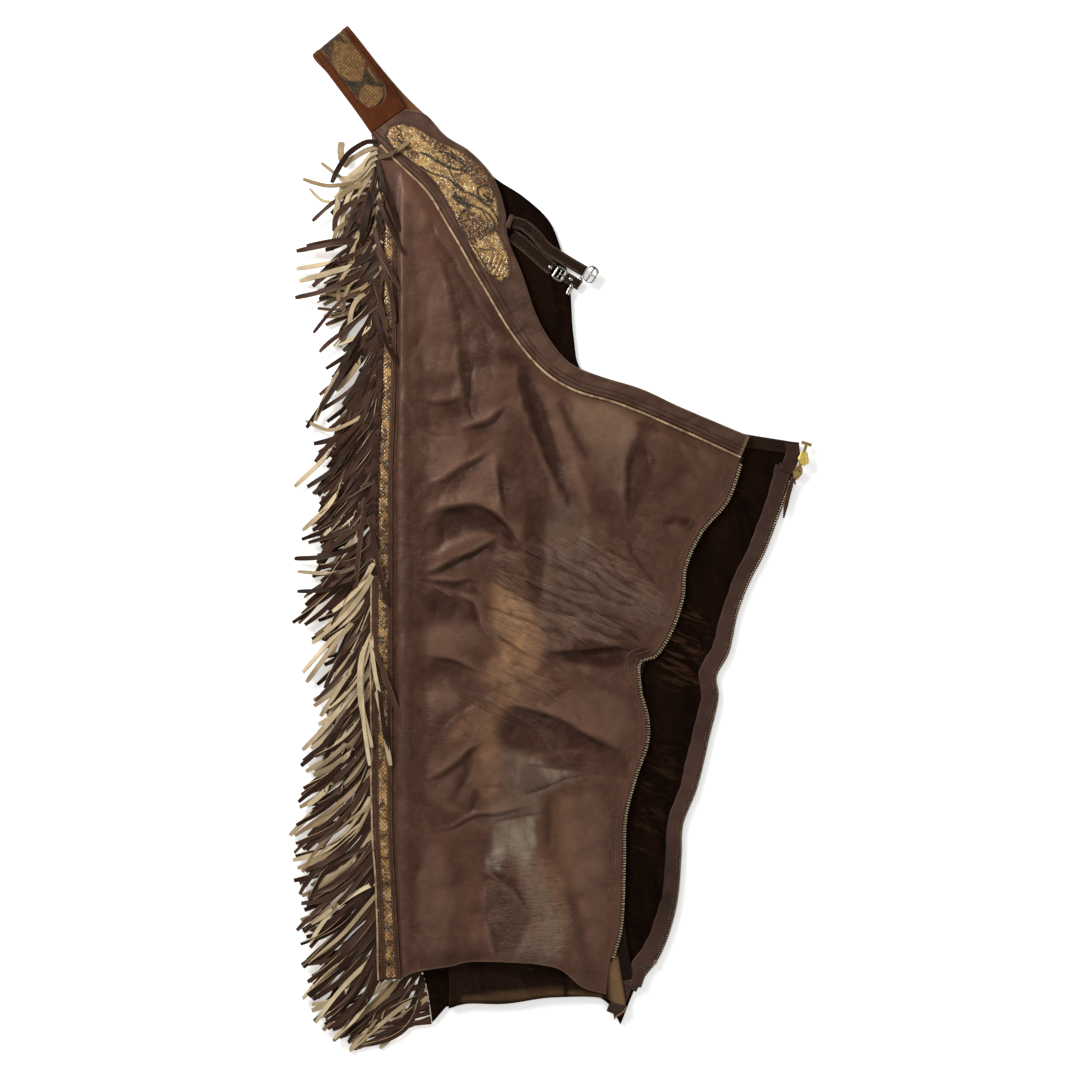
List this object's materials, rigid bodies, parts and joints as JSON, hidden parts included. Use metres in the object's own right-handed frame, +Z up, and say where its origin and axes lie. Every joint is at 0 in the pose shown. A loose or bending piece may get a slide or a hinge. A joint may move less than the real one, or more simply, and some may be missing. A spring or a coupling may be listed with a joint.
{
  "type": "leather chaps",
  "caption": "Western show chaps of brown leather with gold python-print trim, tan piping, long side fringe and full-length zips, folded in half at the centre back and laid flat.",
  "frame": {"origin": "middle of the whole outline in plan, on the surface that the chaps lie on", "axes": "+X across the legs from the fringe to the zips, +Y from hem to waist, +Z up from the surface they lie on"},
  "size_m": [0.5875, 1.1599, 0.0184],
  "materials": {
    "brown_leather": "smooth chrome-tanned grain leather, creased and a little worn",
    "suede": "very dark flesh side of the leather",
    "band_leather": "smooth grain leather, stitched along its edges",
    "gold_python": "metallic gold python print with dark blotches",
    "tan_piping": "light tan rolled piping",
    "fringe_leather": "cut strands, dark on the grain side and beige on the flesh side",
    "belt_leather": "reddish brown leather with turned, rounded edges",
    "snakeskin": "tan snakeskin with dark diamonds",
    "zip_tape": "dark woven zip tape",
    "brass": "worn brass",
    "nickel": "bright nickel plate"
  },
  "bodies": {
    "chaps": {"back_belt": "belt_leather", "belt_snakeskin": "snakeskin", "long_front_strap": "band_leather", "lower_back_panel": "suede", "lower_back_zip_tape": "zip_tape", "lower_fringe": "fringe_leather", "lower_front_panel": "suede", "lower_front_zip_tape": "zip_tape", "lower_side_strip": "band_leather", "lower_tape_end_patch": "brown_leather", "lower_yoke": "band_leather", "lower_yoke_python": "gold_python", "lower_zip_facing": "brown_leather", "round_buckle": "nickel", "short_front_strap": "band_leather", "short_strap_rivet": "nickel", "side_strip": "band_leather", "side_strip_piping": "tan_piping", "side_strip_python": "gold_python", "slider_thong": "brown_leather", "square_buckle": "nickel", "strap_end": "band_leather", "strap_end_rivet": "nickel", "strap_keeper": "band_leather", "strap_tip": "nickel", "upper_back_panel": "suede", "upper_back_zip_tape": "zip_tape", "upper_fringe": "fringe_leather", "upper_front_panel": "brown_leather", "upper_front_zip_tape": "zip_tape", "upper_yoke": "band_leather", "yoke_piping": "tan_piping", "yoke_python": "gold_python", "zip_slider": "brass"},
    "pull_tab": {"pull_tab": "brass"}
  },
  "joints": [
    {"name": "pull_tab_hinge", "type": "hinge", "parent": "chaps", "child": "pull_tab", "pos_m": [0.27824, 0.0618, 0.0099], "axis": [0.9511, -0.309, 0], "range_deg": [0, 100]}
  ]
}
